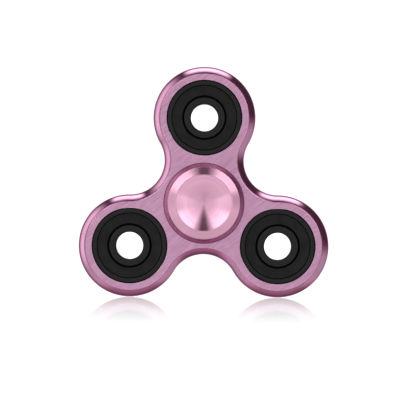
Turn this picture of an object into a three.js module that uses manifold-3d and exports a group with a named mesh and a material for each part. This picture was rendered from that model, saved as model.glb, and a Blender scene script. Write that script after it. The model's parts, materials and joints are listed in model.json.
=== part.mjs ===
// Three-lobed fidget spinner with four sealed ball bearings. Millimetres, +Z up.
// The spin axis is Y and the front looks along -Y, so the spinner stands on two of its lobes.
// The origin is the middle of the centre bearing, which is also the middle of the whole spinner.

import * as THREE from 'three';
import { mergeVertices } from 'three/addons/utils/BufferGeometryUtils.js';
import Module from 'manifold-3d';

// Ball bearing, the same in the centre and in every lobe
const BORE_D = 8;
const BEARING_OD = 22;
const BEARING_WIDTH = 7;
const BALL_D = 3.969;
const BALL_COUNT = 7;
const RACE_SHOULDER = 0.5;
const RING_CHAMFER = 0.3;
const OUTER_RING_FACE = 1.4;
const INNER_RING_FACE = 1.9;
const SEAL_THICKNESS = 0.5;
const SEAL_RECESS = 0.15;
const SEAL_BEVEL = 0.2;
const SEAL_LIP_LENGTH = 0.4;
const SEAL_LIP_THICKNESS = 0.2;
const CAGE_THICKNESS = 1.7;
const CAGE_PRONG = 1.1;

// Plate: three lobes around the centre, with concave waists between them
const LOBE_COUNT = 3;
const WEB = 3;
const RIM_WALL = 4;
const EDGE_ROUND = 2.1;

// Finger caps, screwed together through the centre bearing
const CAP_OVERHANG = 0.6;
const CAP_HEIGHT = 3.5;
const CAP_EDGE = 0.2;
const CAP_SHOULDER_WIDTH = 1.05;
const CAP_SHOULDER_RISE = 2.2;
const CAP_BEVEL_WIDTH = 2.15;
const RIM_LAND = 0.35;
const DISH_DEPTH = 1.3;
const SEAT_LAND = 1.2;
const STUD_D = 5;
const STUD_CHAMFER = 0.4;
const SOCKET_ROOF = 0.9;

// Clearances
const PRESS_GAP = 0.05;
const RACE_GAP = 0.15;
const POCKET_GAP = 0.1;
const CAGE_END_GAP = 0.1;
const SEAL_LIP_GAP = 0.1;
const CAP_FACE_GAP = 0.35;
const STEM_GAP = 0.05;
const STEM_PARTING = 0.3;
const THREAD_GAP = 0.1;
const STUD_END_GAP = 0.3;

// Fineness of the facets
const RING_SEGMENTS = 24;
const GROOVE_SEGMENTS = 4;
const POCKET_SEGMENTS = 14;
const CAGE_SEGMENTS = 4 * BALL_COUNT;
const DISH_SEGMENTS = 5;
const ROUND_SEGMENTS = 3;
const OUTLINE_SEGMENTS = 6;
const BALL_DETAIL = 1;

// Sizes that follow from the ones above
const BORE_R = BORE_D / 2;
const BEARING_R = BEARING_OD / 2;
const HALF_WIDTH = BEARING_WIDTH / 2;
const BALL_R = BALL_D / 2;
const PITCH_R = (BORE_R + BEARING_R) / 2;
const GROOVE_R = BALL_R + RACE_GAP;
const LAND_OFFSET = BALL_R - RACE_SHOULDER;
const GROOVE_ANGLE = Math.acos(LAND_OFFSET / GROOVE_R);
const OUTER_FACE_R = BEARING_R - OUTER_RING_FACE;
const INNER_FACE_R = BORE_R + INNER_RING_FACE;
const SEAL_TOP = HALF_WIDTH - SEAL_RECESS;
const SEAL_BOTTOM = SEAL_TOP - SEAL_THICKNESS;
const SEAL_SEAT = SEAL_BOTTOM - PRESS_GAP;
const ARM = BEARING_OD + WEB;
const LOBE_R = BEARING_R + RIM_WALL;
const WAIST_R = ARM - LOBE_R;
const LOBE_PITCH = (2 * Math.PI) / LOBE_COUNT;
const STEM_R = BORE_R - STEM_GAP;
const STUD_R = STUD_D / 2;
const RIM_TOP = HALF_WIDTH + CAP_HEIGHT;
const SOCKET_END = RIM_TOP - DISH_DEPTH - SOCKET_ROOF;

const FINISHES = {
  plate: { color: 0xc89db6, roughness: 0.38, metalness: 1 },
  cap: { color: 0xd4a4bd, roughness: 0.28, metalness: 1 },
  blackRing: { color: 0x2a2c2b, roughness: 0.35, metalness: 1 },
  seal: { color: 0x232224, roughness: 0.6, metalness: 0 },
  cage: { color: 0x2b2a29, roughness: 0.55, metalness: 0 },
  ball: { color: 0xc9ccd0, roughness: 0.08, metalness: 1 },
};

const wasm = await Module();
wasm.setup();

function piece(name, geometry, finish) {
  const mesh = new THREE.Mesh(geometry, new THREE.MeshStandardMaterial(FINISHES[finish]));
  mesh.name = name;
  return mesh;
}

function at(radius, height) {
  return new THREE.Vector2(radius, height);
}

// A profile runs anticlockwise, with the radius to the right and the height along Y going up
function turned(profile, segments = RING_SEGMENTS) {
  return new THREE.LatheGeometry(profile, segments);
}

function turnedRing(profile, segments = RING_SEGMENTS) {
  return turned([...profile, profile[0].clone()], segments);
}

function toSolid(geometry) {
  const bare = geometry.clone();
  bare.deleteAttribute('normal');
  bare.deleteAttribute('uv');
  const merged = mergeVertices(bare, 1e-4);
  const corners = merged.index.array;
  const triVerts = [];
  for (let i = 0; i < corners.length; i += 3) {
    const [a, b, c] = corners.slice(i, i + 3);
    if (a !== b && b !== c && c !== a) triVerts.push(a, b, c);
  }
  return new wasm.Manifold(new wasm.Mesh({
    numProp: 3,
    vertProperties: new Float32Array(merged.attributes.position.array),
    triVerts: new Uint32Array(triVerts),
  }));
}

function fromSolid(solid) {
  const mesh = solid.getMesh();
  const geometry = new THREE.BufferGeometry();
  geometry.setAttribute('position', new THREE.BufferAttribute(mesh.vertProperties, 3));
  geometry.setIndex(new THREE.BufferAttribute(mesh.triVerts, 1));
  geometry.computeVertexNormals();
  return geometry;
}

function cutAway(geometry, tools) {
  let solid = toSolid(geometry);
  for (const tool of tools) solid = solid.subtract(toSolid(tool));
  return fromSolid(solid);
}

// Raceway groove as an arc around the ball's centre, from one side of the bearing to the other
function groove(side) {
  return Array.from({ length: GROOVE_SEGMENTS + 1 }, (_, i) => {
    const angle = GROOVE_ANGLE * ((2 * i) / GROOVE_SEGMENTS - 1);
    return at(PITCH_R + side * GROOVE_R * Math.cos(angle), -side * GROOVE_R * Math.sin(angle));
  });
}

function outerRing() {
  const land = PITCH_R + LAND_OFFSET;
  return turnedRing([
    at(BEARING_R, RING_CHAMFER - HALF_WIDTH),
    at(BEARING_R, HALF_WIDTH - RING_CHAMFER),
    at(BEARING_R - RING_CHAMFER, HALF_WIDTH),
    at(OUTER_FACE_R, HALF_WIDTH),
    at(OUTER_FACE_R, SEAL_SEAT),
    at(land, SEAL_SEAT),
    ...groove(1),
    at(land, -SEAL_SEAT),
    at(OUTER_FACE_R, -SEAL_SEAT),
    at(OUTER_FACE_R, -HALF_WIDTH),
    at(BEARING_R - RING_CHAMFER, -HALF_WIDTH),
  ]);
}

function innerRing() {
  const land = PITCH_R - LAND_OFFSET;
  return turnedRing([
    at(INNER_FACE_R, -HALF_WIDTH),
    at(INNER_FACE_R, -SEAL_SEAT),
    at(land, -SEAL_SEAT),
    ...groove(-1),
    at(land, SEAL_SEAT),
    at(INNER_FACE_R, SEAL_SEAT),
    at(INNER_FACE_R, HALF_WIDTH),
    at(BORE_R + RING_CHAMFER, HALF_WIDTH),
    at(BORE_R, HALF_WIDTH - RING_CHAMFER),
    at(BORE_R, RING_CHAMFER - HALF_WIDTH),
    at(BORE_R + RING_CHAMFER, -HALF_WIDTH),
  ]);
}

// The rear seal; the front one is the same piece turned over. A thin lip reaches in to the inner ring
function seal() {
  const lip = INNER_FACE_R + SEAL_LIP_GAP;
  const lipTop = SEAL_BOTTOM + SEAL_LIP_THICKNESS;
  const shoulder = lip + SEAL_LIP_LENGTH;
  const rim = OUTER_FACE_R - PRESS_GAP;
  return turnedRing([
    at(lip, SEAL_BOTTOM),
    at(rim, SEAL_BOTTOM),
    at(rim, SEAL_TOP),
    at(shoulder + SEAL_BEVEL, SEAL_TOP),
    at(shoulder, SEAL_TOP - SEAL_BEVEL),
    at(shoulder, lipTop),
    at(lip, lipTop),
  ]);
}

// Crown cage: a ring at the back of the balls, with prongs that reach between them
function cage() {
  const inside = PITCH_R - CAGE_THICKNESS / 2;
  const outside = PITCH_R + CAGE_THICKNESS / 2;
  const back = SEAL_BOTTOM - CAGE_END_GAP;
  const ring = turnedRing([
    at(outside, -CAGE_PRONG),
    at(outside, back),
    at(inside, back),
    at(inside, -CAGE_PRONG),
  ], CAGE_SEGMENTS);
  const pockets = ballAngles().map((angle) => {
    const pocketR = BALL_R + POCKET_GAP;
    const pocket = new THREE.CylinderGeometry(pocketR, pocketR, 2 * CAGE_THICKNESS, POCKET_SEGMENTS);
    return pocket.rotateX(Math.PI / 2).translate(0, 0, PITCH_R).rotateY(angle);
  });
  return cutAway(ring, pockets);
}

function ballAngles() {
  return Array.from({ length: BALL_COUNT }, (_, i) => (2 * Math.PI * i) / BALL_COUNT);
}

function bearing(place) {
  const group = new THREE.Group();
  const frontSeal = piece(`${place}_front_seal`, seal(), 'seal');
  frontSeal.rotation.x = Math.PI;
  group.add(
    piece(`${place}_outer_ring`, outerRing(), 'blackRing'),
    piece(`${place}_inner_ring`, innerRing(), 'blackRing'),
    piece(`${place}_cage`, cage(), 'cage'),
    piece(`${place}_rear_seal`, seal(), 'seal'),
    frontSeal,
  );
  ballAngles().forEach((angle, i) => {
    const ball = piece(`${place}_ball_${i + 1}`, new THREE.IcosahedronGeometry(BALL_R, BALL_DETAIL), 'ball');
    ball.position.set(PITCH_R * Math.sin(angle), 0, PITCH_R * Math.cos(angle));
    group.add(ball);
  });
  return group;
}

// Lobe arcs and waist arcs meet at tangents, because all their centres lie ARM from the middle
function plateOutline() {
  const outline = new THREE.Shape();
  for (let i = 0; i < LOBE_COUNT; i++) {
    const lobe = Math.PI / 2 + i * LOBE_PITCH;
    const waist = lobe + LOBE_PITCH / 2;
    const swing = LOBE_PITCH;
    const lobeX = ARM * Math.cos(lobe);
    const lobeZ = ARM * Math.sin(lobe);
    outline.absarc(lobeX, lobeZ, LOBE_R, lobe - swing, lobe, false);
    outline.absarc(lobeX, lobeZ, LOBE_R, lobe, lobe + swing, false);
    const waistX = ARM * Math.cos(waist);
    const waistZ = ARM * Math.sin(waist);
    const inward = waist + Math.PI;
    outline.absarc(waistX, waistZ, WAIST_R, inward + swing / 2, inward - swing / 2, true);
  }
  return outline;
}

function boreTool(turn, reach) {
  const radius = BEARING_R + PRESS_GAP;
  const tool = new THREE.CylinderGeometry(radius, radius, 2 * BEARING_WIDTH, RING_SEGMENTS);
  return tool.translate(0, 0, reach).rotateY(turn);
}

function lobeTurns() {
  return Array.from({ length: LOBE_COUNT }, (_, i) => -i * LOBE_PITCH);
}

function plate() {
  const slab = new THREE.ExtrudeGeometry(plateOutline(), {
    depth: BEARING_WIDTH - 2 * EDGE_ROUND,
    curveSegments: OUTLINE_SEGMENTS,
    bevelThickness: EDGE_ROUND,
    bevelSize: EDGE_ROUND,
    bevelOffset: -EDGE_ROUND,
    bevelSegments: ROUND_SEGMENTS,
  });
  slab.translate(0, 0, EDGE_ROUND - HALF_WIDTH).rotateX(Math.PI / 2);
  return cutAway(slab, [boreTool(0, 0), ...lobeTurns().map((turn) => boreTool(turn, ARM))]);
}


// Everything of a cap outside its stem, from the stem's end to the middle of the dish
function capProfile() {
  const edge = BEARING_R + CAP_OVERHANG;
  const underside = HALF_WIDTH + CAP_FACE_GAP;
  const bevel = edge - CAP_SHOULDER_WIDTH;
  const rim = bevel - CAP_BEVEL_WIDTH;
  const dish = rim - RIM_LAND;
  const seat = BORE_R + SEAT_LAND;
  const curve = Array.from({ length: DISH_SEGMENTS + 1 }, (_, i) => {
    const out = 1 - i / DISH_SEGMENTS;
    return at(dish * out, RIM_TOP - DISH_DEPTH * (1 - out ** 2));
  });
  return [
    at(STEM_R, STEM_PARTING / 2),
    at(STEM_R, HALF_WIDTH + PRESS_GAP),
    at(seat, HALF_WIDTH + PRESS_GAP),
    at(seat, underside),
    at(edge, underside),
    at(edge, underside + CAP_EDGE),
    at(bevel, underside + CAP_EDGE + CAP_SHOULDER_RISE),
    at(rim, RIM_TOP),
    ...curve,
  ];
}

function studdedCap() {
  const tip = STUD_END_GAP - SOCKET_END;
  return turned([
    at(0, tip),
    at(STUD_R - STUD_CHAMFER, tip),
    at(STUD_R, tip + STUD_CHAMFER),
    at(STUD_R, STEM_PARTING / 2),
    ...capProfile(),
  ]);
}

function socketCap() {
  const wall = STUD_R + THREAD_GAP;
  return turned([
    at(0, SOCKET_END),
    at(wall, SOCKET_END),
    at(wall, STEM_PARTING / 2),
    ...capProfile(),
  ]);
}

function spinner() {
  const group = new THREE.Group();
  const frontCap = piece('front_cap', socketCap(), 'cap');
  frontCap.rotation.x = Math.PI;
  group.add(piece('spinner_body', plate(), 'plate'), bearing('centre'));
  group.add(frontCap, piece('back_cap', studdedCap(), 'cap'));
  const places = ['top', 'left', 'right'];
  lobeTurns().forEach((turn, i) => {
    const lobe = new THREE.Group();
    const lobeBearing = bearing(places[i] ?? `lobe_${i + 1}`);
    lobeBearing.position.z = ARM;
    lobe.rotation.y = turn;
    lobe.add(lobeBearing);
    group.add(lobe);
  });
  return group;
}

export default spinner();
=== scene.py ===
"""Looks of the three-lobed spinner: brushed pink plate, turned finger caps and black sealed bearings."""

import json
import math

import bmesh
import bpy
from mathutils import Matrix, Vector


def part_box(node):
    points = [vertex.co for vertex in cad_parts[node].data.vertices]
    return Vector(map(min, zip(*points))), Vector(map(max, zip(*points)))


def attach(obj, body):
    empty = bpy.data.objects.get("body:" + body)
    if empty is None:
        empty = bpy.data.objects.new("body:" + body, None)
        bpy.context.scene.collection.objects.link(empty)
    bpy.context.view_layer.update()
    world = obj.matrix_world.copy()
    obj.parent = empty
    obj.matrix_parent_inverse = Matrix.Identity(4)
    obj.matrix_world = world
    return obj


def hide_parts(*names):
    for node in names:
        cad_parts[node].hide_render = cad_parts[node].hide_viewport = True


MM = 0.001
PLACES = ("centre", "top", "left", "right")
LOBES = PLACES[1:]

# Sizes of the plate and the bearings, in millimetres, where the frame's boxes don't show them
PLATE_ROUND = 2.1
PLATE_ROUND_START = math.radians(17)
BRUSHING_ANGLE = math.radians(35)
PRESS_GAP = 0.05
MOUTH_CHAMFER = 0.03
BORE_RADIUS = 4.0
RING_CHAMFER = 0.3
INNER_FACE_RADIUS = 5.9
OUTER_FACE_RADIUS = 9.6
BALL_RADIUS = 1.9845
BALL_COUNT = 7
PITCH_RADIUS = 7.5
RACE_SHOULDER = 0.5
GROOVE_GAP = 0.15
POCKET_GAP = 0.1
CAGE_THICKNESS = 1.7
SEAL_LIP_GAP = 0.1
SEAL_LIP_LENGTH = 0.4
SEAL_LIP_THICKNESS = 0.2
SEAL_LIP_MARGIN = 0.02
SEAL_LIP_DROP = 0.20
SEAL_RIM_BEVEL = 0.15
SEAL_RIM_DROP = 0.10
SEAL_STEP = 0.08

# Corners of the seal's two beads, from the lip's shoulder outwards and from the rim inwards
SEAL_LIP_BEAD = (0.20, 0.55, 0.75)
SEAL_RIM_BEAD = (0.55, 0.70)

# Sizes of the finger caps, in millimetres
CAP_UNDERSIDE_GAP = 0.35
CAP_EDGE = 0.2
CAP_SHOULDER_WIDTH = 1.05
CAP_BEVEL_WIDTH = 2.15
CAP_BEVEL_RISE = 0.75
RIM_LAND = 0.35
DISH_DEPTH = 1.3
SEAT_RADIUS = 5.2
STEM_RADIUS = 3.95
STEM_END = 0.15
STEM_ROUND = 0.2
STUD_RADIUS = 2.5
THREAD_PITCH = 0.8
THREAD_DEPTH = 0.35
SOCKET_ROOF = 0.9
SOCKET_GAP = 0.1

# Painted shadow on the plate, a thin dark ring round the caps: its fade from the caps' edge outwards in
# millimetres, and its strength
CAP_SHADOW_FADE = (0.12, 0.34)
CAP_SHADOW_STRENGTH = 0.85

# Where most values of a noise lie, and the share of the dust's cells that hold no speck
NOISE_RANGE = (0.3, 0.7)
SPECK_RARITY = 0.93

# Fineness of the meshes
LOBE_STEPS = 240
WAIST_STEPS = 48
ROUND_STEPS = 14
TURN_STEPS = 192
CORNER_STEPS = 3
GROOVE_STEPS = 16
DISH_STEPS = 16
BALL_SEGMENTS = 32
POCKET_STEPS = 48
SHARP_ANGLE = math.radians(35)

# Limits of the meshes: millimetres from the axis and to weld, and a rounding's greatest share of an edge
ON_AXIS = 1e-6
WELD_DISTANCE = 0.001
CORNER_REACH = 0.45

# The studio's light: brightness, and tilt away from the front in degrees where it falls or rises
DARK = 0.095
FRONT_GLOW = 0.62
FRONT_FALL = (39.5, 44.5)
BACK_GLOW = 0.55
BACK_RISE = (125.0, 160.0)

# Tint of the light that is dim, or comes from far below the horizon
LOW_TINT = (1.0, 0.72, 0.85, 1.0)
DIM_LIGHT = (0.12, 0.40)
LOW_REACH = (-0.6, -0.9)

SOFTBOXES = (
    # strength, then around from and to with the blur of both sides, and tilt where it rises and falls
    (0.28, -20, 72, 6, (8, 22), (31, 38)),
    (0.28, 108, 200, 6, (8, 22), (31, 38)),
    (0.80, 20, 68, 9, (20, 36), (40, 45)),
    (0.76, 112, 158, 9, (20, 36), (40, 45)),
    (0.13, 190, 290, 14, (20, 32), (40, 45)),
    (0.13, -110, -12, 14, (20, 32), (40, 45)),
    (1.35, 61, 112, 6, (40, 88), (98, 136)),
    (0.70, 129, 198, 14, (38, 60), (82, 142)),
    (0.38, 196, 238, 14, (38, 50), (80, 150)),
    (0.35, -50, -4, 12, (38, 50), (100, 160)),
    (0.25, 232, 290, 12, (38, 50), (60, 150)),
    (0.25, -110, -46, 12, (38, 50), (60, 150)),
)
FLAGS = (
    # level, then the same limits: black card that cuts a dark shape into the light
    (0.50, 240, 290, 16, (0, 2), (10, 18)),
    (0.50, -110, -60, 16, (0, 2), (10, 18)),
    (0.50, 73, 107, 5, (5, 13), (35, 41)),
    (0.11, 80, 100, 3, (6, 14), (42, 52)),
)

# The white that the camera sees, and the part of it behind the spinner that the floor mirrors
SEEN_WHITE = 0.8
BACKDROP_BACK = 0.9
BACKDROP_BAND = (-0.02, 0.08)

# The floor and the camera: places and sizes in metres, lens and sensor in millimetres
FLOOR_SIZE = 20.0
FLOOR_ROUGHNESS = 0.04
MIRROR_DEPTH = 0.34
MIRROR_SHARE = 1.75
MIRROR_GRAZING = 40.0
CAMERA_PLACE = (0.00121, -0.9, -0.00139)
CAMERA_ROLL = math.radians(-0.4)
CAMERA_LENS = 265.5
CAMERA_SENSOR = 36
CAMERA_REACH = 10

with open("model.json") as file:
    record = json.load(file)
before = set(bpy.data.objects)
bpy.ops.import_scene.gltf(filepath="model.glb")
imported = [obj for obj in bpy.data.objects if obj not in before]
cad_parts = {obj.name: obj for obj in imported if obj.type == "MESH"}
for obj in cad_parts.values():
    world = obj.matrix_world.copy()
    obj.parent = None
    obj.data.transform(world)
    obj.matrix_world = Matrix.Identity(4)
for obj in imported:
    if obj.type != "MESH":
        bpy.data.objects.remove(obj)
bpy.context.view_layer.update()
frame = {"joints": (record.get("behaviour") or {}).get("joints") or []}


# ---------------------------------------------------------------- sizes read from the frame

def lobe_centres():
    """Each bearing's middle, from the joints of the lobes' inner rings."""
    centres = {"centre": Vector((0, 0, 0))}
    for joint in frame["joints"]:
        for place in LOBES:
            if joint["name"] == f"{place}_ring_spin":
                centres[place] = Vector(joint["pos_m"])
    return centres


CENTRES = lobe_centres()
ARM = CENTRES["top"].z / MM
PLATE_LOW, PLATE_HIGH = (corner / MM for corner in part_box("spinner_body"))
LOBE_RADIUS = PLATE_HIGH.z - ARM
HALF_WIDTH = PLATE_HIGH.y
BEARING_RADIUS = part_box("centre_outer_ring")[1].x / MM
SEAL_LOW, SEAL_HIGH = (corner.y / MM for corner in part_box("centre_rear_seal"))
CAGE_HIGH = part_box("centre_cage")[1].y / MM
CAGE_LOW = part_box("centre_cage")[0].y / MM
CAP_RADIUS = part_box("back_cap")[1].x / MM
CAP_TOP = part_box("back_cap")[1].y / MM


# ---------------------------------------------------------------- node helpers

def add(tree, kind, settings=None, **sockets):
    """Adds a node. A socket is named with _ for a space and takes a value or another node's output."""
    made = tree.nodes.new(kind)
    for name, value in (settings or {}).items():
        setattr(made, name, value)
    for name, value in sockets.items():
        plug(tree, made.inputs[name.replace("_", " ")], value)
    return made


def plug(tree, socket, value):
    if isinstance(value, bpy.types.NodeSocket):
        tree.links.new(value, socket)
    else:
        socket.default_value = value


def calc(tree, operation, *values):
    made = tree.nodes.new("ShaderNodeMath")
    made.operation = operation
    for socket, value in zip(made.inputs, values):
        plug(tree, socket, value)
    return made.outputs[0]


def ramp(tree, value, start, end, low=0.0, high=1.0):
    """Goes smoothly from low to high as the value goes from start to end."""
    made = add(tree, "ShaderNodeMapRange", {"interpolation_type": "SMOOTHSTEP"}, Value=value)
    for name, number in (("From Min", start), ("From Max", end), ("To Min", low), ("To Max", high)):
        plug(tree, made.inputs[name], number)
    return made.outputs["Result"]


def blend_colours(tree, share, first, second):
    made = add(tree, "ShaderNodeMix", {"data_type": "RGBA"})
    plug(tree, made.inputs[0], share)
    plug(tree, made.inputs[6], first)
    plug(tree, made.inputs[7], second)
    return made.outputs[2]


def stain(tree, mask, amount, colour, stained):
    """The colour, with this amount of another one where the mask is 1."""
    return blend_colours(tree, calc(tree, "MULTIPLY", mask, amount), colour, stained)


def new_group(name, inputs, outputs):
    """A shader node group with named float or vector inputs and float outputs."""
    tree = bpy.data.node_groups.new(name, "ShaderNodeTree")
    for label, default in inputs.items():
        kind = "NodeSocketFloat" if isinstance(default, (int, float)) else "NodeSocketVector"
        socket = tree.interface.new_socket(label, in_out="INPUT", socket_type=kind)
        socket.default_value = default
    for label in outputs:
        tree.interface.new_socket(label, in_out="OUTPUT", socket_type="NodeSocketFloat")
    return tree, tree.nodes.new("NodeGroupInput").outputs, tree.nodes.new("NodeGroupOutput").inputs


def use_group(tree, group, **sockets):
    made = tree.nodes.new("ShaderNodeGroup")
    made.node_tree = group
    for name, value in sockets.items():
        plug(tree, made.inputs[name.replace("_", " ")], value)
    return made.outputs


# ---------------------------------------------------------------- shared surface effects

def brushed_grain_group():
    """Straight brushing: fine hairlines, broader bands and a few longer scratches."""
    tree, given, out = new_group(
        "brushed grain",
        {"Position": (0, 0, 0), "Line Width": 0.09, "Line Length": 5.0},
        ("Height", "Tone", "Scratches"),
    )
    parts = add(tree, "ShaderNodeSeparateXYZ", Vector=given["Position"])
    along = calc(tree, "DIVIDE", parts.outputs[0], given["Line Length"])
    across = calc(tree, "DIVIDE", parts.outputs[1], given["Line Width"])

    def lines(stretch, spread, detail):
        place = add(tree, "ShaderNodeCombineXYZ", X=calc(tree, "MULTIPLY", along, stretch),
                    Y=calc(tree, "MULTIPLY", across, spread))
        noise = add(tree, "ShaderNodeTexNoise", Vector=place.outputs[0], Scale=1.0, Detail=detail)
        return noise.outputs["Fac"]

    hair, band, scratch = lines(1.0, 1.0, 3.0), lines(0.6, 0.22, 2.0), lines(1.7, 0.55, 0.0)
    plug(tree, out["Height"], hair)
    plug(tree, out["Tone"], calc(tree, "ADD", calc(tree, "MULTIPLY", hair, 0.55),
                                 calc(tree, "MULTIPLY", band, 0.45)))
    plug(tree, out["Scratches"], ramp(tree, scratch, 0.66, 0.76))
    return tree


def turned_lines_group():
    """Rings left by a lathe: fine lines across the profile that hardly change around the piece."""
    tree, given, out = new_group(
        "turned lines",
        {"Unrolled": (0, 0, 0), "Line Width": 0.1, "Breaks": 3.0},
        ("Height", "Tone"),
    )
    parts = add(tree, "ShaderNodeSeparateXYZ", Vector=given["Unrolled"])
    angle = calc(tree, "MULTIPLY", parts.outputs[0], 2 * math.pi)
    across = calc(tree, "DIVIDE", parts.outputs[1], given["Line Width"])

    def rings(spread, breaks, detail):
        swing = calc(tree, "MULTIPLY", given["Breaks"], breaks)
        place = add(tree, "ShaderNodeCombineXYZ",
                    X=calc(tree, "MULTIPLY", calc(tree, "COSINE", angle), swing),
                    Y=calc(tree, "MULTIPLY", calc(tree, "SINE", angle), swing),
                    Z=calc(tree, "MULTIPLY", across, spread))
        noise = add(tree, "ShaderNodeTexNoise", Vector=place.outputs[0], Scale=1.0, Detail=detail)
        return noise.outputs["Fac"]

    fine, broad = rings(1.0, 0.3, 2.0), rings(0.2, 1.0, 1.0)
    plug(tree, out["Height"], fine)
    plug(tree, out["Tone"], calc(tree, "ADD", calc(tree, "MULTIPLY", fine, 0.5),
                                 calc(tree, "MULTIPLY", broad, 0.5)))
    return tree


def handling_marks_group():
    """Faint smudges from fingers, and specks of dust."""
    tree, given, out = new_group(
        "handling marks",
        {"Position": (0, 0, 0), "Smudge Size": 9.0, "Speck Size": 0.22},
        ("Smudge", "Specks"),
    )
    smudge = add(tree, "ShaderNodeTexNoise", Vector=given["Position"], Detail=2.0, Distortion=0.6,
                 Scale=calc(tree, "DIVIDE", 1.0, given["Smudge Size"]))
    speck = add(tree, "ShaderNodeTexVoronoi", Vector=given["Position"],
                Scale=calc(tree, "DIVIDE", 0.25, given["Speck Size"]))
    lot = add(tree, "ShaderNodeTexWhiteNoise", Vector=speck.outputs["Position"])
    near = ramp(tree, speck.outputs["Distance"], 0.16, 0.06)
    drawn = calc(tree, "GREATER_THAN", lot.outputs["Value"], SPECK_RARITY)
    plug(tree, out["Smudge"], ramp(tree, smudge.outputs["Fac"], 0.35, 0.7))
    plug(tree, out["Specks"], calc(tree, "MULTIPLY", near, drawn))
    return tree


BRUSHED_GRAIN = brushed_grain_group()
TURNED_LINES = turned_lines_group()
HANDLING_MARKS = handling_marks_group()


# ---------------------------------------------------------------- materials

def new_material(name):
    material = bpy.data.materials.new(name)
    material.use_nodes = True
    tree = material.node_tree
    surface = next(n for n in tree.nodes if n.type == "BSDF_PRINCIPLED")
    return material, tree, surface.inputs


def millimetres(tree):
    """Object coordinates in millimetres."""
    place = add(tree, "ShaderNodeTexCoord").outputs["Object"]
    return add(tree, "ShaderNodeMapping", Vector=place, Scale=(1 / MM,) * 3).outputs[0]


def unrolled(tree):
    """The piece's own map: turns around it, and millimetres across its profile."""
    return add(tree, "ShaderNodeUVMap", {"uv_map": "surface"}).outputs[0]


def bump(tree, height, strength, depth):
    """The normal of a relief this deep, in millimetres."""
    return add(tree, "ShaderNodeBump", Height=height, Strength=strength, Distance=depth * MM).outputs[0]


def grain_tangent(tree):
    return add(tree, "ShaderNodeTangent", {"direction_type": "UV_MAP", "uv_map": "surface"}).outputs[0]


def painted_cap_shadow(tree):
    """How much painted shadow lies on the plate: a thin dark ring just outside the caps, where the gap under
    them is in shade.
    """
    parts = add(tree, "ShaderNodeSeparateXYZ", Vector=millimetres(tree)).outputs
    squares = calc(tree, "ADD", calc(tree, "POWER", parts[0], 2.0), calc(tree, "POWER", parts[2], 2.0))
    away = calc(tree, "SUBTRACT", calc(tree, "SQRT", squares), CAP_RADIUS)
    return calc(tree, "MULTIPLY", ramp(tree, away, *CAP_SHADOW_FADE, 1.0, 0.0), CAP_SHADOW_STRENGTH)


def brushed_plate_material():
    material, tree, surface = new_material("brushed pink anodising")
    grain = use_group(tree, BRUSHED_GRAIN, Position=unrolled(tree))
    marks = use_group(tree, HANDLING_MARKS, Position=millimetres(tree))
    tone = ramp(tree, grain["Tone"], *NOISE_RANGE)
    colour = blend_colours(tree, tone, (0.54, 0.325, 0.460, 1), (0.71, 0.455, 0.615, 1))
    colour = stain(tree, grain["Scratches"], 0.45, colour, (0.84, 0.66, 0.78, 1))
    colour = stain(tree, marks["Smudge"], 0.10, colour, (0.45, 0.25, 0.36, 1))
    # Painted shadow round the caps, darkening the plate's colour
    colour = blend_colours(tree, painted_cap_shadow(tree), colour, (0.16, 0.055, 0.095, 1))
    plug(tree, surface["Base Color"], colour)
    surface["Metallic"].default_value = 1.0
    rough = calc(tree, "ADD", ramp(tree, grain["Tone"], *NOISE_RANGE, 0.40, 0.32),
                 calc(tree, "MULTIPLY", marks["Smudge"], 0.04))
    plug(tree, surface["Roughness"], rough)
    surface["Anisotropic"].default_value = 0.6
    surface["Anisotropic Rotation"].default_value = 0.25
    plug(tree, surface["Tangent"], grain_tangent(tree))
    plug(tree, surface["Normal"], bump(tree, grain["Height"], 0.35, 0.02))
    return material


def polished_edge_material():
    material, tree, surface = new_material("polished pink edge")
    marks = use_group(tree, HANDLING_MARKS, Position=millimetres(tree), Smudge_Size=5.0)
    colour = blend_colours(tree, marks["Smudge"], (0.75, 0.435, 0.605, 1), (0.72, 0.405, 0.575, 1))
    plug(tree, surface["Base Color"], colour)
    surface["Metallic"].default_value = 1.0
    plug(tree, surface["Roughness"], ramp(tree, marks["Smudge"], 0.0, 1.0, 0.11, 0.17))
    waves = add(tree, "ShaderNodeTexNoise", Vector=millimetres(tree), Scale=0.9, Detail=1.0)
    plug(tree, surface["Normal"], bump(tree, waves.outputs["Fac"], 0.05, 0.1))
    return material


def turned_cap_material():
    material, tree, surface = new_material("turned pink cap")
    lines = use_group(tree, TURNED_LINES, Unrolled=unrolled(tree), Line_Width=0.07, Breaks=0.5)
    marks = use_group(tree, HANDLING_MARKS, Position=millimetres(tree), Smudge_Size=6.0)
    tone = ramp(tree, lines["Tone"], *NOISE_RANGE)
    colour = blend_colours(tree, tone, (0.745, 0.462, 0.585, 1), (0.785, 0.495, 0.622, 1))
    colour = stain(tree, marks["Smudge"], 0.05, colour, (0.62, 0.31, 0.43, 1))
    plug(tree, surface["Base Color"], colour)
    surface["Metallic"].default_value = 1.0
    plug(tree, surface["Roughness"], ramp(tree, lines["Tone"], *NOISE_RANGE, 0.195, 0.18))
    surface["Anisotropic"].default_value = 0.85
    surface["Anisotropic Rotation"].default_value = 0.25
    plug(tree, surface["Tangent"], grain_tangent(tree))
    plug(tree, surface["Normal"], bump(tree, lines["Height"], 0.05, 0.01))
    return material


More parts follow.
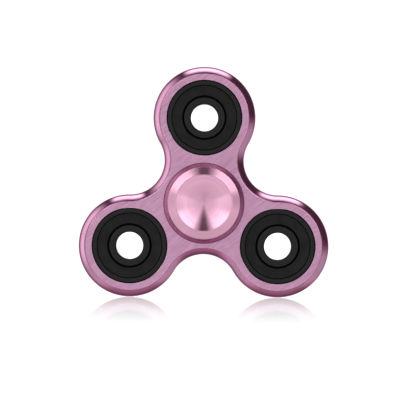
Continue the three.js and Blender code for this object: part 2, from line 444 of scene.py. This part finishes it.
def black_steel_material():
    material, tree, surface = new_material("black oxide steel")
    lines = use_group(tree, TURNED_LINES, Unrolled=unrolled(tree), Line_Width=0.05, Breaks=5.0)
    marks = use_group(tree, HANDLING_MARKS, Position=millimetres(tree), Smudge_Size=3.0)
    worn = add(tree, "ShaderNodeAttribute", {"attribute_name": "edge"}).outputs["Fac"]
    colour = blend_colours(tree, lines["Tone"], (0.034, 0.034, 0.0355, 1), (0.058, 0.057, 0.0595, 1))
    colour = stain(tree, marks["Smudge"], 0.3, colour, (0.040, 0.036, 0.032, 1))
    colour = stain(tree, worn, 0.35, colour, (0.09, 0.088, 0.086, 1))
    plug(tree, surface["Base Color"], colour)
    surface["Metallic"].default_value = 0.55
    plug(tree, surface["Roughness"], ramp(tree, lines["Tone"], 0.2, 0.8, 0.42, 0.30))
    plug(tree, surface["Normal"], bump(tree, lines["Height"], 0.3, 0.01))
    return material


def seal_rubber_material():
    material, tree, surface = new_material("black seal rubber")
    lines = use_group(tree, TURNED_LINES, Unrolled=unrolled(tree), Line_Width=0.25, Breaks=8.0)
    marks = use_group(tree, HANDLING_MARKS, Position=millimetres(tree), Smudge_Size=4.0)
    grit = add(tree, "ShaderNodeTexNoise", Vector=millimetres(tree), Scale=9.0, Detail=3.0)
    colour = blend_colours(tree, marks["Smudge"], (0.0305, 0.0292, 0.0308, 1), (0.0390, 0.0374, 0.0392, 1))
    colour = stain(tree, marks["Specks"], 0.3, colour, (0.06, 0.06, 0.06, 1))
    plug(tree, surface["Base Color"], colour)
    plug(tree, surface["Roughness"], ramp(tree, grit.outputs["Fac"], *NOISE_RANGE, 0.62, 0.5))
    surface["Specular IOR Level"].default_value = 0.3
    height = calc(tree, "ADD", grit.outputs["Fac"], lines["Height"])
    plug(tree, surface["Normal"], bump(tree, height, 0.3, 0.02))
    return material


def seal_painted_shade_material():
    # Near-black painted shade with little gloss, for the seal's lip groove and rim bevel
    material, tree, surface = new_material("seal painted shade")
    grit = add(tree, "ShaderNodeTexNoise", Vector=millimetres(tree), Scale=7.0, Detail=3.0)
    colour = blend_colours(tree, grit.outputs["Fac"], (0.003, 0.003, 0.003, 1), (0.008, 0.0075, 0.008, 1))
    plug(tree, surface["Base Color"], colour)
    plug(tree, surface["Roughness"], ramp(tree, grit.outputs["Fac"], *NOISE_RANGE, 0.95, 0.8))
    surface["Specular IOR Level"].default_value = 0.08
    plug(tree, surface["Normal"], bump(tree, grit.outputs["Fac"], 0.3, 0.02))
    return material


def cage_nylon_material():
    material, tree, surface = new_material("black cage nylon")
    grit = add(tree, "ShaderNodeTexNoise", Vector=millimetres(tree), Scale=4.0, Detail=4.0)
    colour = blend_colours(tree, grit.outputs["Fac"], (0.018, 0.018, 0.018, 1), (0.035, 0.034, 0.033, 1))
    plug(tree, surface["Base Color"], colour)
    plug(tree, surface["Roughness"], ramp(tree, grit.outputs["Fac"], *NOISE_RANGE, 0.6, 0.45))
    plug(tree, surface["Normal"], bump(tree, grit.outputs["Fac"], 0.2, 0.02))
    return material


def ball_steel_material():
    material, tree, surface = new_material("polished ball steel")
    marks = use_group(tree, HANDLING_MARKS, Position=millimetres(tree), Smudge_Size=1.5)
    colour = blend_colours(tree, marks["Smudge"], (0.56, 0.57, 0.58, 1), (0.50, 0.49, 0.46, 1))
    plug(tree, surface["Base Color"], colour)
    surface["Metallic"].default_value = 1.0
    plug(tree, surface["Roughness"], ramp(tree, marks["Smudge"], 0.0, 1.0, 0.05, 0.12))
    return material


BRUSHED_PLATE = brushed_plate_material()
POLISHED_EDGE = polished_edge_material()
TURNED_CAP = turned_cap_material()
BLACK_STEEL = black_steel_material()
SEAL_RUBBER = seal_rubber_material()
SEAL_SHADE = seal_painted_shade_material()
CAGE_NYLON = cage_nylon_material()
BALL_STEEL = ball_steel_material()


# ---------------------------------------------------------------- mesh helpers

def new_piece(name, mesh, *materials):
    """An object at the origin with this mesh and its materials."""
    for material in materials:
        mesh.materials.append(material)
    piece = bpy.data.objects.new(name, mesh)
    bpy.context.scene.collection.objects.link(piece)
    return piece


def soften(corners):
    """Rounds a closed profile's corners, each given as (radius, height, rounding) in millimetres.

    The result has points (radius, height, edge), with edge going up to 1 in the middle of a rounding."""
    rounded = []
    for i, (radius, height, rounding) in enumerate(corners):
        if not rounding:
            rounded.append((radius, height, 0.0))
            continue
        corner = Vector((radius, height))
        before = Vector(corners[i - 1][:2]) - corner
        after = Vector(corners[(i + 1) % len(corners)][:2]) - corner
        half = before.angle(after) / 2
        reach = min(rounding / math.tan(half), CORNER_REACH * before.length, CORNER_REACH * after.length)
        middle = (before.normalized() + after.normalized()).normalized() * (reach / math.cos(half))
        start = before.normalized() * reach - middle
        end = after.normalized() * reach - middle
        for step in range(CORNER_STEPS + 1):
            share = step / CORNER_STEPS
            point = corner + middle + start.slerp(end, share) * start.length
            rounded.append((point.x, point.y, 1.0 - abs(2 * share - 1)))
    return rounded


def turned_mesh(name, profile, closed=True):
    """Turns a profile of (radius, height, edge) round the Y axis. It runs anticlockwise, with height up.

    A profile that isn't closed starts and ends on the axis."""
    bm = bmesh.new()
    surface = bm.loops.layers.uv.new("surface")
    edge = bm.verts.layers.float.new("edge")
    rows = []
    for radius, height, worn in profile:
        row = []
        for i in range(TURN_STEPS if radius > ON_AXIS else 1):
            angle = 2 * math.pi * i / TURN_STEPS
            place = Vector((radius * math.sin(angle), height, radius * math.cos(angle)))
            row.append(bm.verts.new(place * MM))
            row[-1][edge] = worn
        rows.append(row)
    travel = 0.0
    for j in range(len(rows) if closed else len(rows) - 1):
        k = (j + 1) % len(rows)
        farther = travel + math.dist(profile[j][:2], profile[k][:2])
        turn_strip(bm, surface, rows[j], rows[k], travel, farther)
        travel = farther
    return finished_mesh(name, bm)


def turn_strip(bm, surface, near, far, travel, farther):
    """The faces between two rows of a turned mesh; a row of one point is on the axis."""
    for i in range(TURN_STEPS):
        corners = [(near, i, travel)]
        if len(near) > 1:
            corners.append((near, i + 1, travel))
        if len(far) > 1:
            corners.append((far, i + 1, farther))
        corners.append((far, i, farther))
        face = bm.faces.new([row[turn % len(row)] for row, turn, _ in corners])
        for loop, (row, turn, across) in zip(face.loops, corners):
            middle = 0.5 if len(row) == 1 else 0.0
            loop[surface].uv = ((turn + middle) / TURN_STEPS, across)


def finished_mesh(name, bm):
    """Writes the mesh with smooth faces, and with its sharp edges marked."""
    bm.normal_update()
    for face in bm.faces:
        face.smooth = True
    for edge in bm.edges:
        first, second = edge.link_faces
        apart = first.normal.angle(second.normal, 0.0)
        edge.smooth = apart < SHARP_ANGLE and first.material_index == second.material_index
    mesh = bpy.data.meshes.new(name)
    bm.to_mesh(mesh)
    bm.free()
    return mesh


def with_sharp_edges(mesh):
    """The same mesh with its sharp edges marked, keeping only the materials that its faces use."""
    bm = bmesh.new()
    bm.from_mesh(mesh)
    used = sorted({face.material_index for face in bm.faces})
    for face in bm.faces:
        face.material_index = used.index(face.material_index)
    finished = finished_mesh(mesh.name, bm)
    for index in used:
        finished.materials.append(mesh.materials[index])
    return finished


def even_shading(piece):
    """Keeps flat faces flat next to small roundings."""
    weighted = piece.modifiers.new("even shading", "WEIGHTED_NORMAL")
    weighted.keep_sharp = True
    weighted.weight = 100


def copied_mesh(mesh, offset, turned_over=False):
    copy = mesh.copy()
    if turned_over:
        copy.transform(Matrix.Rotation(math.pi, 4, "X"))
    copy.transform(Matrix.Translation(offset))
    return copy


# ---------------------------------------------------------------- geometry nodes

def geometry_tree(name, inputs):
    """A geometry node tree with named inputs; returns it, their sockets and the output socket."""
    tree = bpy.data.node_groups.new(name, "GeometryNodeTree")
    tree.interface.new_socket("Geometry", in_out="INPUT", socket_type="NodeSocketGeometry")
    for label, kind in inputs.items():
        tree.interface.new_socket(label, in_out="INPUT", socket_type=kind)
    tree.interface.new_socket("Geometry", in_out="OUTPUT", socket_type="NodeSocketGeometry")
    return tree, tree.nodes.new("NodeGroupInput").outputs, tree.nodes.new("NodeGroupOutput").inputs[0]


def run_tree(mesh, tree, **values):
    """The plain mesh that a tree makes of a mesh with these input values."""
    piece = new_piece("blank", mesh)
    modifier = piece.modifiers.new(tree.name, "NODES")
    modifier.node_group = tree
    for item in tree.interface.items_tree:
        label = item.name.replace(" ", "_")
        if item.in_out == "INPUT" and label in values:
            modifier[item.identifier] = values[label]
    bpy.context.view_layer.update()
    shaped = piece.evaluated_get(bpy.context.evaluated_depsgraph_get())
    made = bpy.data.meshes.new_from_object(shaped)
    bpy.data.objects.remove(piece)
    return made


def copies_in_circle(tree, count, radius, shape):
    """Copies of a shape on a circle round the Y axis, with their own Z axes pointing outwards."""
    circle = add(tree, "GeometryNodeMeshCircle", Vertices=count, Radius=radius)
    upright = add(tree, "GeometryNodeTransform", Geometry=circle.outputs[0],
                  Rotation=(math.pi / 2, -math.pi / 2, 0))
    place = add(tree, "GeometryNodeInputPosition").outputs[0]
    facing = add(tree, "FunctionNodeAlignRotationToVector", {"axis": "Z"}, Vector=place)
    copies = add(tree, "GeometryNodeInstanceOnPoints", Points=upright.outputs[0], Instance=shape,
                 Rotation=facing.outputs[0])
    return add(tree, "GeometryNodeRealizeInstances", Geometry=copies.outputs[0]).outputs[0]


def ball_set_tree():
    """Balls in a circle."""
    tree, given, out = geometry_tree("ball set", {
        "Count": "NodeSocketInt",
        "Pitch Radius": "NodeSocketFloat",
        "Ball Radius": "NodeSocketFloat",
        "Finish": "NodeSocketMaterial",
    })
    ball = add(tree, "GeometryNodeMeshUVSphere", Segments=BALL_SEGMENTS, Rings=BALL_SEGMENTS // 2,
               Radius=given["Ball Radius"])
    balls = copies_in_circle(tree, given["Count"], given["Pitch Radius"], ball.outputs[0])
    finish = add(tree, "GeometryNodeSetMaterial", Geometry=balls, Material=given["Finish"])
    plug(tree, out, finish.outputs[0])
    return tree


def crown_cage_tree():
    """Cuts a pocket for each ball into a plain ring."""
    tree, given, out = geometry_tree("crown cage", {
        "Count": "NodeSocketInt",
        "Pitch Radius": "NodeSocketFloat",
        "Pocket Radius": "NodeSocketFloat",
        "Pocket Depth": "NodeSocketFloat",
        "Finish": "NodeSocketMaterial",
    })
    pocket = add(tree, "GeometryNodeMeshCylinder", Vertices=POCKET_STEPS, Radius=given["Pocket Radius"],
                 Depth=given["Pocket Depth"])
    pockets = copies_in_circle(tree, given["Count"], given["Pitch Radius"], pocket.outputs[0])
    cut = add(tree, "GeometryNodeMeshBoolean", {"operation": "DIFFERENCE", "solver": "EXACT"})
    plug(tree, cut.inputs["Mesh 1"], given["Geometry"])
    plug(tree, cut.inputs["Mesh 2"], pockets)
    whole = add(tree, "GeometryNodeRealizeInstances", Geometry=cut.outputs[0])
    finish = add(tree, "GeometryNodeSetMaterial", Geometry=whole.outputs[0], Material=given["Finish"])
    plug(tree, out, finish.outputs[0])
    return tree


def lobed_plate_tree():
    """Repeats one lobe round the spin axis and welds the copies into one skin."""
    tree, given, out = geometry_tree("lobed plate", {
        "Count": "NodeSocketInt",
        "Weld Distance": "NodeSocketFloat",
        "Face Finish": "NodeSocketMaterial",
        "Edge Finish": "NodeSocketMaterial",
    })
    points = add(tree, "GeometryNodeMeshLine", Count=given["Count"], Offset=(0, 0, 0))
    number = add(tree, "GeometryNodeInputIndex").outputs[0]
    turn = calc(tree, "MULTIPLY", number, calc(tree, "DIVIDE", 2 * math.pi, given["Count"]))
    spin = add(tree, "FunctionNodeEulerToRotation",
               Euler=add(tree, "ShaderNodeCombineXYZ", Y=turn).outputs[0])
    copies = add(tree, "GeometryNodeInstanceOnPoints", Points=points.outputs[0],
                 Instance=given["Geometry"], Rotation=spin.outputs[0])
    whole = add(tree, "GeometryNodeRealizeInstances", Geometry=copies.outputs[0])
    skin = add(tree, "GeometryNodeMergeByDistance", Geometry=whole.outputs[0],
               Distance=given["Weld Distance"])
    rim = add(tree, "GeometryNodeInputNamedAttribute", {"data_type": "BOOLEAN"}, Name="rim")
    faces = add(tree, "GeometryNodeSetMaterial", Geometry=skin.outputs[0],
                Material=given["Face Finish"])
    edge = add(tree, "GeometryNodeSetMaterial", Geometry=faces.outputs[0], Selection=rim.outputs[0],
               Material=given["Edge Finish"])
    plug(tree, out, edge.outputs[0])
    return tree


# ---------------------------------------------------------------- plate

def arc(centre, radius, start, end, steps):
    """Points (x, z) along an arc, without its last one."""
    angles = (start + (end - start) * i / steps for i in range(steps))
    return [centre + Vector((math.cos(a), math.sin(a))) * radius for a in angles]


def lobe_outline(inset):
    """One lobe from waist to waist, as points (x, z) this far inside the plate's outline."""
    waist_radius = ARM - LOBE_RADIUS
    top = math.pi / 2
    sixth = math.pi / 3
    right, left = top - sixth, top + sixth
    ray = {angle: Vector((math.cos(angle), math.sin(angle))) for angle in (right, top, left)}
    return (
        arc(ray[right] * ARM, waist_radius + inset, right + math.pi, top + sixth, WAIST_STEPS)
        + arc(ray[top] * ARM, LOBE_RADIUS - inset, top - 2 * sixth, top + 2 * sixth, LOBE_STEPS)
        + arc(ray[left] * ARM, waist_radius + inset, left + 4 * sixth, left + math.pi, WAIST_STEPS)
        + [ray[left] * (ARM - waist_radius - inset)]
    )


def plate_rounding():
    """The plate's edge from front to back, as (inset, height) in millimetres."""
    radius = PLATE_ROUND / (1 - math.sin(PLATE_ROUND_START))
    levels = []
    for i in range(ROUND_STEPS + 1):
        tilt = PLATE_ROUND_START + (math.pi / 2 - PLATE_ROUND_START) * i / ROUND_STEPS
        inset = radius * (1 - math.sin(tilt))
        depth = radius * (math.cos(PLATE_ROUND_START) - math.cos(tilt))
        levels.append((inset, depth - HALF_WIDTH))
    return levels + [(inset, -height) for inset, height in reversed(levels)]


def plate_lobe():
    """A third of the plate, open where the other thirds join it. The faces of its rim are marked."""
    bm = bmesh.new()
    rim = bm.faces.layers.bool.new("rim")
    bore = BEARING_RADIUS + PRESS_GAP
    left, right = math.radians(150), math.radians(30)
    mouth = [(MOUTH_CHAMFER, -HALF_WIDTH), (0.0, MOUTH_CHAMFER - HALF_WIDTH)]
    mouth += [(wider, -height) for wider, height in reversed(mouth)]

    def row(points, height):
        return [bm.verts.new((x * MM, height * MM, z * MM)) for x, z in points]

    def skin(rows, closed, is_rim):
        for near, far in zip(rows, rows[1:]):
            for i in range(len(near) if closed else len(near) - 1):
                k = (i + 1) % len(near)
                bm.faces.new((near[i], far[i], far[k], near[k]))[rim] = is_rim

    edge = [row(lobe_outline(inset), height) for inset, height in plate_rounding()]
    lobe_bore, middle_bore = [], []
    for wider, height in mouth:
        radius = bore + wider
        lobe_bore.append(row(arc(Vector((0, ARM)), radius, 2 * math.pi, 0, LOBE_STEPS), height))
        sector = arc(Vector((0, 0)), radius, left, right, LOBE_STEPS // 3)
        sector.append(Vector((math.cos(right), math.sin(right))) * radius)
        middle_bore.append(row(sector, height))
    skin(edge, False, True)
    skin(lobe_bore, True, False)
    skin(middle_bore, False, False)
    for side, facing in ((0, Vector((0, -1, 0))), (-1, Vector((0, 1, 0)))):
        border, hole = edge[side] + middle_bore[side], lobe_bore[side]
        pairs = list(zip(border, border[1:] + border[:1])) + list(zip(hole, hole[1:] + hole[:1]))
        lines = [bm.edges.get(pair) or bm.edges.new(pair) for pair in pairs]
        filled = bmesh.ops.triangle_fill(bm, use_beauty=True, edges=lines, normal=facing)
        for item in filled["geom"]:
            if isinstance(item, bmesh.types.BMFace):
                item.normal_update()
                if item.normal.dot(facing) < 0:
                    item.normal_flip()
    mesh = bpy.data.meshes.new("plate")
    bm.to_mesh(mesh)
    bm.free()
    return mesh


def lay_brushing(mesh):
    """The plate's own map, in millimetres: along the brushing and across it."""
    along = Vector((math.cos(BRUSHING_ANGLE), 0, math.sin(BRUSHING_ANGLE))) / MM
    across = Vector((-math.sin(BRUSHING_ANGLE), 0, math.cos(BRUSHING_ANGLE))) / MM
    surface = mesh.uv_layers.new(name="surface")
    for loop in mesh.loops:
        place = mesh.vertices[loop.vertex_index].co
        surface.data[loop.index].uv = (place.dot(along), place.dot(across))


def build_plate():
    mesh = run_tree(plate_lobe(), lobed_plate_tree(), Count=len(LOBES), Weld_Distance=WELD_DISTANCE * MM,
                    Face_Finish=BRUSHED_PLATE, Edge_Finish=POLISHED_EDGE)
    mesh = with_sharp_edges(mesh)
    lay_brushing(mesh)
    plate = new_piece("plate", mesh)
    even_shading(plate)
    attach(plate, "spinner")
    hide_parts("spinner_body")


# ---------------------------------------------------------------- finger caps

def cap_face():
    """A cap from its seat round to the middle of its dish, as profile corners."""
    underside = HALF_WIDTH + CAP_UNDERSIDE_GAP
    edge_top = underside + CAP_EDGE
    shoulder = CAP_RADIUS - CAP_SHOULDER_WIDTH
    rim = shoulder - CAP_BEVEL_WIDTH
    dish = rim - RIM_LAND
    corners = [
        (STEM_RADIUS, HALF_WIDTH + PRESS_GAP, 0),
        (SEAT_RADIUS, HALF_WIDTH + PRESS_GAP, 0.05),
        (SEAT_RADIUS, underside, 0),
        (CAP_RADIUS, underside, 0.06),
        (CAP_RADIUS, edge_top, 0.06),
        (shoulder, CAP_TOP - CAP_BEVEL_RISE, 0.10),
        (rim, CAP_TOP, 0.16),
        (dish, CAP_TOP, 0.16),
    ]
    bowl = []
    for i in range(1, DISH_STEPS + 1):
        share = 1 - i / DISH_STEPS
        bowl.append((dish * share, CAP_TOP - DISH_DEPTH * (1 - share * share), 0))
    return corners + bowl


def thread(root, crest, start, end):
    """Rings of a thread from one height to another."""
    count = int(abs(end - start) / THREAD_PITCH)
    step = math.copysign(THREAD_PITCH, end - start)
    corners = []
    for i in range(count):
        height = start + i * step
        corners += [(crest, height, 0), (root, height + step / 2, 0)]
    return corners + [(crest, start + count * step, 0)]


def back_cap_profile():
    """From the stud's tip round to the middle of the dish."""
    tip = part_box("back_cap")[0].y / MM
    stud = thread(STUD_RADIUS - THREAD_DEPTH, STUD_RADIUS, tip + THREAD_DEPTH, STEM_END - THREAD_PITCH)
    bottom = [(0, tip, 0), (STUD_RADIUS - THREAD_DEPTH, tip, 0)]
    shank = [(STUD_RADIUS, STEM_END, 0), (STEM_RADIUS, STEM_END, STEM_ROUND)]
    return bottom + stud + shank + cap_face()


def front_cap_profile():
    """From the socket's roof round to the middle of the dish, the same way round as the back cap."""
    roof = CAP_TOP - DISH_DEPTH - SOCKET_ROOF
    inside = STUD_RADIUS + SOCKET_GAP
    socket = thread(inside + THREAD_DEPTH, inside, roof - THREAD_PITCH, STEM_END + THREAD_PITCH)
    blind_end = [(0, roof, 0), (inside, roof, 0)]
    mouth = [(inside, STEM_END, 0), (STEM_RADIUS, STEM_END, STEM_ROUND)]
    return blind_end + socket + mouth + cap_face()


def build_cap(name, node, profile, turned_over):
    mesh = turned_mesh(name, soften(profile), closed=False)
    cap = new_piece(name, copied_mesh(mesh, Vector(), turned_over), TURNED_CAP)
    even_shading(cap)
    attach(cap, "hub")
    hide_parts(node)


# ---------------------------------------------------------------- bearings

def groove(side):
    """The balls' groove in a ring, from one side of the bearing to the other."""
    radius = BALL_RADIUS + GROOVE_GAP
    widest = math.acos((BALL_RADIUS - RACE_SHOULDER) / radius)
    points = []
    for i in range(GROOVE_STEPS + 1):
        angle = widest * (2 * i / GROOVE_STEPS - 1)
        points.append((PITCH_RADIUS + side * radius * math.cos(angle), -side * radius * math.sin(angle), 0))
    return points


def mirrored(half):
    """A ring's profile from the middle of one side: this half, then the same half from the other side."""
    return half + [(radius, -height, rounding) for radius, height, rounding in reversed(half)]


def outer_ring_mesh():
    seat = SEAL_LOW - PRESS_GAP
    outside = mirrored([
        (OUTER_FACE_RADIUS, -seat, 0),
        (OUTER_FACE_RADIUS, -HALF_WIDTH, 0.06),
        (BEARING_RADIUS - RING_CHAMFER, -HALF_WIDTH, 0.08),
        (BEARING_RADIUS, RING_CHAMFER - HALF_WIDTH, 0.08),
    ])
    land = PITCH_RADIUS + BALL_RADIUS - RACE_SHOULDER
    return turned_mesh("outer ring", soften([(land, -seat, 0), *outside, (land, seat, 0), *groove(1)]))


def inner_ring_mesh():
    seat = SEAL_LOW - PRESS_GAP
    inside = mirrored([
        (INNER_FACE_RADIUS, seat, 0),
        (INNER_FACE_RADIUS, HALF_WIDTH, 0.06),
        (BORE_RADIUS + RING_CHAMFER, HALF_WIDTH, 0.08),
        (BORE_RADIUS, HALF_WIDTH - RING_CHAMFER, 0.08),
    ])
    land = PITCH_RADIUS - BALL_RADIUS + RACE_SHOULDER
    return turned_mesh("inner ring", soften([(land, seat, 0), *inside, (land, -seat, 0), *groove(-1)]))


def seal_mesh():
    """The rear seal: a rubber disc, a little sunken between a bead at its lip and one at its rim.

    Its lip's groove and its rim's bevel have the second of the piece's materials: a near-black painted shade,
    where these hollows lie in shade."""
    lip = INNER_FACE_RADIUS + SEAL_LIP_GAP
    lip_top = SEAL_LOW + SEAL_LIP_THICKNESS
    shoulder = lip + SEAL_LIP_LENGTH
    rim = OUTER_FACE_RADIUS - PRESS_GAP
    sunken_face = SEAL_HIGH - SEAL_STEP
    lip_bead_start, lip_bead_end, lip_bead_foot = (shoulder + corner for corner in SEAL_LIP_BEAD)
    rim_bead_end, rim_bead_foot = (rim - corner for corner in SEAL_RIM_BEAD)
    mesh = turned_mesh("seal", soften([
        (lip, SEAL_LOW, 0.05),
        (rim, SEAL_LOW, 0),
        (rim, SEAL_HIGH - SEAL_RIM_DROP, 0.05),
        (rim - SEAL_RIM_BEVEL, SEAL_HIGH, 0.05),
        (rim_bead_end, SEAL_HIGH, 0.08),
        (rim_bead_foot, sunken_face, 0.05),
        (lip_bead_foot, sunken_face, 0.05),
        (lip_bead_end, SEAL_HIGH, 0.08),
        (lip_bead_start, SEAL_HIGH, 0.12),
        (shoulder, SEAL_HIGH - SEAL_LIP_DROP, 0.08),
        (shoulder, lip_top, 0.04),
        (lip, lip_top, 0.05),
    ]))
    for face in mesh.polygons:
        middle = face.center / MM
        away = math.hypot(middle.x, middle.z)
        # Painted shade: faces in the lip's groove and on the rim's bevel take the near-black material
        in_shade = away < shoulder + SEAL_LIP_MARGIN or away > rim - SEAL_RIM_BEVEL
        face.material_index = int(in_shade and middle.y > SEAL_LOW)
    return mesh


def cage_mesh():
    inside, outside = PITCH_RADIUS - CAGE_THICKNESS / 2, PITCH_RADIUS + CAGE_THICKNESS / 2
    ring = turned_mesh("cage", soften([
        (outside, CAGE_LOW, 0.1),
        (outside, CAGE_HIGH, 0.1),
        (inside, CAGE_HIGH, 0.1),
        (inside, CAGE_LOW, 0.1),
    ]))
    return with_sharp_edges(run_tree(
        ring, crown_cage_tree(), Count=BALL_COUNT, Pitch_Radius=PITCH_RADIUS * MM,
        Pocket_Radius=(BALL_RADIUS + POCKET_GAP) * MM, Pocket_Depth=2 * CAGE_THICKNESS * MM,
        Finish=CAGE_NYLON))


def ball_set_mesh():
    return with_sharp_edges(run_tree(
        bpy.data.meshes.new("balls"), ball_set_tree(), Count=BALL_COUNT,
        Pitch_Radius=PITCH_RADIUS * MM, Ball_Radius=BALL_RADIUS * MM, Finish=BALL_STEEL))


def build_bearings():
    meshes = {
        "outer_ring": outer_ring_mesh(),
        "inner_ring": inner_ring_mesh(),
        "rear_seal": seal_mesh(),
        "cage": cage_mesh(),
        "balls": ball_set_mesh(),
    }
    for place, centre in CENTRES.items():
        balls_body = f"{place}_balls"
        ring_body = "hub" if place == "centre" else f"{place}_ring"
        balls = [f"{place}_ball_{i + 1}" for i in range(BALL_COUNT)]

        def build(label, mesh, body, slot, nodes, *materials, turned_over=False):
            piece = new_piece(f"{place}_bearing_{label}", copied_mesh(mesh, centre, turned_over), *materials)
            if label not in ("balls", "cage"):
                even_shading(piece)
            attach(piece, body)
            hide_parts(*nodes)

        build("outer_race", meshes["outer_ring"], "spinner", "black_ring", [f"{place}_outer_ring"],
              BLACK_STEEL)
        build("inner_race", meshes["inner_ring"], ring_body, "black_ring", [f"{place}_inner_ring"],
              BLACK_STEEL)
        build("back_seal", meshes["rear_seal"], "spinner", "seal_rubber", [f"{place}_rear_seal"],
              SEAL_RUBBER, SEAL_SHADE)
        build("face_seal", meshes["rear_seal"], "spinner", "seal_rubber", [f"{place}_front_seal"],
              SEAL_RUBBER, SEAL_SHADE, turned_over=True)
        build("cage", meshes["cage"], balls_body, "cage_nylon", [f"{place}_cage"])
        build("balls", meshes["balls"], balls_body, "ball_steel", balls)


# ---------------------------------------------------------------- floor, light and camera

def build_floor():
    """A clear sheet over the white studio, so a lobe that swings below it stays in sight.

    It mirrors the lobes faintly where it is seen at a grazing angle, close to the spinner."""
    material = bpy.data.materials.new("clear floor sheet")
    material.use_nodes = True
    tree = material.node_tree
    tree.nodes.clear()
    place = add(tree, "ShaderNodeTexCoord").outputs["Object"]
    away = add(tree, "ShaderNodeVectorMath", {"operation": "LENGTH"}, Vector=place).outputs["Value"]
    fade = ramp(tree, away, 0.0, MIRROR_DEPTH, 1.0, 0.0)
    grazing = add(tree, "ShaderNodeLayerWeight").outputs["Facing"]
    steep = calc(tree, "MULTIPLY", calc(tree, "POWER", grazing, MIRROR_GRAZING), MIRROR_SHARE)
    share = calc(tree, "MINIMUM", calc(tree, "MULTIPLY", steep, fade), 1.0)
    clear = add(tree, "ShaderNodeBsdfTransparent")
    gloss = add(tree, "ShaderNodeBsdfGlossy", Color=(1, 1, 1, 1), Roughness=FLOOR_ROUGHNESS)
    mixed = tree.nodes.new("ShaderNodeMixShader")
    plug(tree, mixed.inputs[0], share)
    plug(tree, mixed.inputs[1], clear.outputs[0])
    plug(tree, mixed.inputs[2], gloss.outputs[0])
    output = tree.nodes.new("ShaderNodeOutputMaterial")
    plug(tree, output.inputs[0], mixed.outputs[0])

    level = PLATE_LOW.z * MM
    mesh = bpy.data.meshes.new("floor")
    half = FLOOR_SIZE / 2
    corners = [(-half, -half, level), (half, -half, level), (half, half, level), (-half, half, level)]
    mesh.from_pydata(corners, [], [(0, 1, 2, 3)])
    floor = new_piece("floor", mesh, material)
    floor.visible_diffuse = False
    floor.visible_glossy = False
    floor.visible_shadow = False


def softbox(tree, around, tilt, side_from, side_to, side_blur, rise, fall):
    """Where a direction meets a softbox: 1 on it, 0 off it and in between at its blurred edges.

    All in degrees: around is the turn about the line of sight, from the right over the top, and tilt is
    the angle away from the front."""
    mask = ramp(tree, around, side_from - side_blur, side_from + side_blur)
    for border in (
        ramp(tree, around, side_to - side_blur, side_to + side_blur, 1.0, 0.0),
        ramp(tree, tilt, *rise),
        ramp(tree, tilt, *fall, 1.0, 0.0),
    ):
        mask = calc(tree, "MULTIPLY", mask, border)
    return mask


def studio_light(tree):
    """The studio's brightness in each direction."""
    direction = add(tree, "ShaderNodeTexCoord").outputs["Generated"]
    right, back, up = add(tree, "ShaderNodeSeparateXYZ", Vector=direction).outputs
    tilt = calc(tree, "DEGREES", calc(tree, "ARCCOSINE", calc(tree, "MULTIPLY", back, -1.0)))
    signed = calc(tree, "DEGREES", calc(tree, "ARCTAN2", up, right))
    around = calc(tree, "ADD", signed, calc(tree, "MULTIPLY", 360.0, calc(tree, "LESS_THAN", signed, -90.0)))
    light = calc(tree, "ADD", DARK, ramp(tree, tilt, *FRONT_FALL, FRONT_GLOW - DARK, 0.0))
    for strength, *limits in SOFTBOXES:
        mask = softbox(tree, around, tilt, *limits)
        light = calc(tree, "ADD", light, calc(tree, "MULTIPLY", mask, strength))
    light = calc(tree, "ADD", light, ramp(tree, tilt, *BACK_RISE, 0.0, BACK_GLOW))
    for level, *limits in FLAGS:
        mask = softbox(tree, around, tilt, *limits)
        kept = calc(tree, "SUBTRACT", 1.0, mask)
        light = calc(tree, "ADD", calc(tree, "MULTIPLY", light, kept), calc(tree, "MULTIPLY", mask, level))
    behind = calc(tree, "GREATER_THAN", back, BACKDROP_BACK)
    bottom, top = BACKDROP_BAND
    band = calc(tree, "MULTIPLY", calc(tree, "GREATER_THAN", up, bottom), calc(tree, "LESS_THAN", up, top))
    backdrop = calc(tree, "MULTIPLY", calc(tree, "MULTIPLY", behind, band), SEEN_WHITE)
    return calc(tree, "MAXIMUM", light, backdrop)


def low_share(tree):
    """How low a direction comes from: 1 far below the horizon, and 0 near it and above it."""
    direction = add(tree, "ShaderNodeTexCoord").outputs["Generated"]
    up = add(tree, "ShaderNodeSeparateXYZ", Vector=direction).outputs[2]
    return ramp(tree, up, *LOW_REACH)


def build_light():
    """Softboxes in front of the spinner and round it, brightest above, and pink light where it is dim or low.

    The camera sees plain white."""
    world = bpy.data.worlds.new("studio")
    world.use_nodes = True
    tree = world.node_tree
    tree.nodes.clear()
    seen = add(tree, "ShaderNodeLightPath").outputs["Is Camera Ray"]
    strength = add(tree, "ShaderNodeMix", {"data_type": "FLOAT"})
    plug(tree, strength.inputs[0], seen)
    strength.inputs[3].default_value = SEEN_WHITE
    lit = studio_light(tree)
    plug(tree, strength.inputs[2], lit)
    dim = calc(tree, "MAXIMUM", ramp(tree, lit, *DIM_LIGHT, 1.0, 0.0), low_share(tree))
    tint = blend_colours(tree, calc(tree, "SUBTRACT", dim, seen), (1, 1, 1, 1), LOW_TINT)
    background = add(tree, "ShaderNodeBackground", Color=tint, Strength=strength.outputs[0])
    output = add(tree, "ShaderNodeOutputWorld")
    plug(tree, output.inputs[0], background.outputs[0])
    bpy.context.scene.world = world
    bpy.context.scene.view_settings.view_transform = "Standard"
    bpy.context.scene.view_settings.look = "High Contrast"


def build_camera():
    data = bpy.data.cameras.new("camera")
    data.sensor_width = CAMERA_SENSOR
    data.lens = CAMERA_LENS
    data.clip_end = CAMERA_REACH
    camera = bpy.data.objects.new("camera", data)
    camera.location = CAMERA_PLACE
    camera.rotation_euler = (math.pi / 2, CAMERA_ROLL, 0)
    bpy.context.scene.collection.objects.link(camera)
    bpy.context.scene.camera = camera


# ---------------------------------------------------------------- the whole scene

build_plate()
build_cap("back_finger_cap", "back_cap", back_cap_profile(), turned_over=False)
build_cap("front_finger_cap", "front_cap", front_cap_profile(), turned_over=True)
build_bearings()
build_floor()
build_light()
build_camera()
